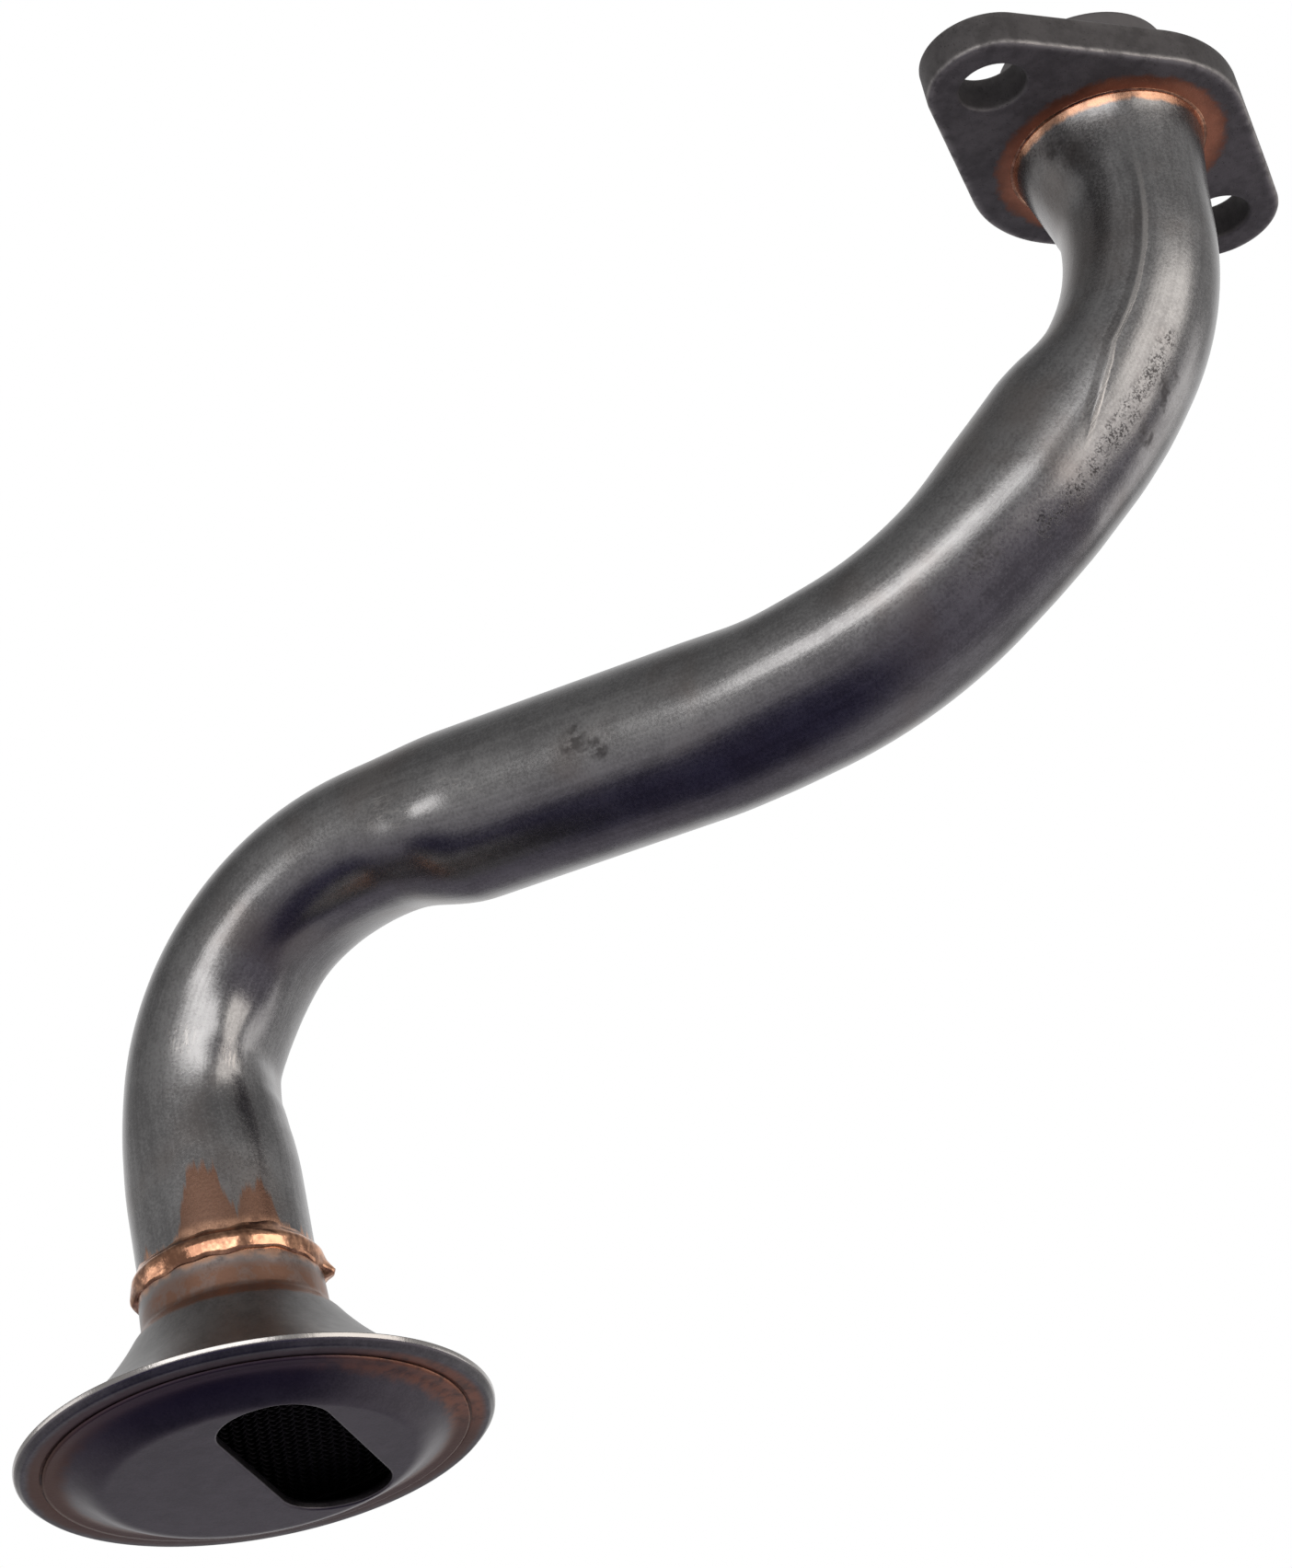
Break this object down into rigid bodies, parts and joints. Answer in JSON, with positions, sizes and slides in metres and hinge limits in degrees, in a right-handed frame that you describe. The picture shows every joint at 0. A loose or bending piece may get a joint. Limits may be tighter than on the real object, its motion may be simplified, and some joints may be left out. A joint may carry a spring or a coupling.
{
  "type": "oil pickup tube",
  "caption": "Bent steel oil pickup tube with a bolt-on flange and spigot at its upper end and a conical strainer bell with a slotted cover at its lower end.",
  "frame": {"origin": "centre of the flange's mounting face, on the axis of the spigot and midway between the two bolt holes", "axes": "+Z out of the mounting face towards the engine, so the tube leaves along -Z; +X along the bolt line; the bell opens along -Z"},
  "size_m": [0.0943, 0.1582, 0.1238],
  "materials": {
    "tube_steel": "satin drawn steel, furnace-brazed",
    "flange_steel": "matte charcoal sintered steel",
    "braze_copper": "bright copper braze, stained at its edges",
    "bell_steel": "satin pressed steel, copper-stained rim",
    "cover_steel": "satin pressed steel, warm grey",
    "screen_wire": "woven steel wire"
  },
  "bodies": {
    "root": {"pickup_tube": "tube_steel", "mounting_flange": "flange_steel", "flange_braze": "braze_copper", "strainer_bell": "bell_steel", "neck_braze": "braze_copper", "strainer_screen": "screen_wire", "inlet_cover": "cover_steel", "rim_braze": "braze_copper"}
  },
  "joints": []
}
